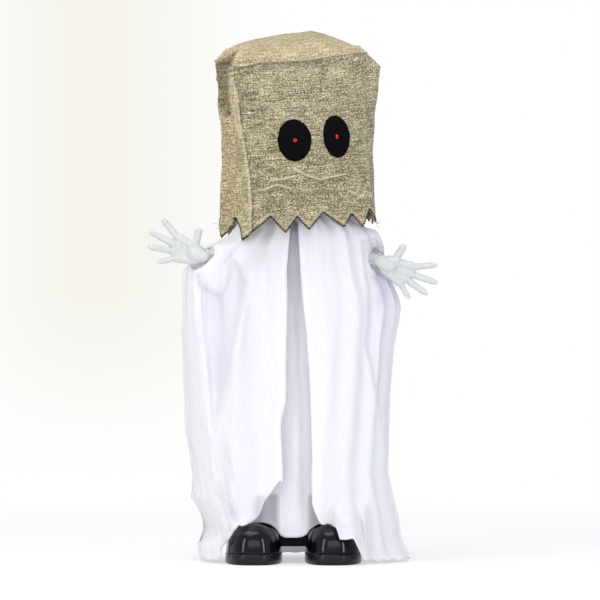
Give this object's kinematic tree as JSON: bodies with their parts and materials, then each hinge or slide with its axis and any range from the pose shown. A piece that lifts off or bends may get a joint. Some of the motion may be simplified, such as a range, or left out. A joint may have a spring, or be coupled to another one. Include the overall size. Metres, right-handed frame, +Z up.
{
  "type": "animated standing ghost figure",
  "caption": "Free-standing ghost figure with a sack over its turning head, lit eyes, a sheer robe open at the front, hands and boots.",
  "frame": {"origin": "on the floor, in the middle of the figure's overall box; both sole undersides lie in z = 0", "axes": "+Z up, along the figure's height; the figure's front, with its toes and eyes, faces -Y; its right hand is at -X and its left hand at +X"},
  "size_m": [0.4962, 0.2698, 0.914],
  "materials": {
    "boot_black": "gloss",
    "frame_black": "satin",
    "tube_steel": "satin",
    "moulded_black": "matte",
    "bright_steel": "satin",
    "nylon": "satin",
    "moulded_white": "matte",
    "hand_white": "satin",
    "sheer_white": "sheer weave",
    "burlap": "coarse weave",
    "black_felt": "felt",
    "red_lens": "gloss",
    "wire_black": "satin",
    "battery_label": "gloss",
    "board_green": "satin"
  },
  "bodies": {
    "frame": {"sole_right": "boot_black", "boot_right": "boot_black", "sole_left": "boot_black", "boot_left": "boot_black", "base_frame": "frame_black", "spigot_right": "frame_black", "spigot_left": "frame_black", "leg_tube_right": "tube_steel", "leg_tube_left": "tube_steel", "hip_block": "moulded_black", "spine_tube": "tube_steel", "housing_front": "moulded_black", "housing_back": "moulded_black", "housing_screw_1": "bright_steel", "housing_screw_2": "bright_steel", "housing_screw_3": "bright_steel", "housing_screw_4": "bright_steel", "drive_bracket": "bright_steel", "gearmotor": "bright_steel", "neck_bush": "nylon", "shoulder_socket_right": "moulded_black", "arm_tube_right": "tube_steel", "hand_right": "hand_white", "sleeve_cuff_right": "sheer_white", "shoulder_socket_left": "moulded_black", "arm_tube_left": "tube_steel", "hand_left": "hand_white", "sleeve_cuff_left": "sheer_white", "robe": "sheer_white", "inner_gown": "sheer_white", "neckband": "sheer_white", "control_box_case": "moulded_black", "control_box_lid": "moulded_black", "door_hinge_pin": "bright_steel", "battery_1": "battery_label", "battery_2": "battery_label", "battery_3": "battery_label", "circuit_board": "board_green", "speaker": "moulded_black", "wire_harness": "wire_black"},
    "head": {"neck_shaft": "tube_steel", "sector_gear": "nylon", "retaining_clip": "bright_steel", "head_hub": "moulded_white", "head_plate": "moulded_white", "head_form": "moulded_white", "sack": "burlap", "eye_patch_right": "black_felt", "led_right": "red_lens", "led_holder_right": "moulded_black", "led_lead_right": "wire_black", "eye_patch_left": "black_felt", "led_left": "red_lens", "led_holder_left": "moulded_black", "led_lead_left": "wire_black"},
    "pinion": {"motor_pinion": "nylon"},
    "door": {"battery_door": "moulded_black"},
    "switch": {"power_switch": "moulded_white"},
    "button": {"try_button": "red_lens"}
  },
  "joints": [
    {"name": "head_turn", "type": "hinge", "parent": "frame", "child": "head", "pos_m": [0.00147, -0.00434, 0.56], "axis": [0, 0, 1], "range_deg": [-38, 6]},
    {"name": "pinion_spin", "type": "hinge", "parent": "frame", "child": "pinion", "pos_m": [-0.04053, -0.00434, 0.545], "axis": [0, 0, 1], "range_deg": [-22.1, 139.5]},
    {"name": "door_swing", "type": "hinge", "parent": "frame", "child": "door", "pos_m": [0.00147, 0.04986, 0.42652], "axis": [1, 0, 0], "range_deg": [0, 85]},
    {"name": "switch_slide", "type": "slide", "parent": "frame", "child": "switch", "axis": [1, 0, 0], "range_m": [-0.003, 0.003]},
    {"name": "button_press", "type": "slide", "parent": "frame", "child": "button", "axis": [0, -1, 0], "range_m": [0, 0.002], "stiffness_N_per_m": 200, "springref_m": -0.001}
  ],
  "couplings": [
    {"joint": "pinion_spin", "follows": "head_turn", "ratio": -3.6667}
  ]
}
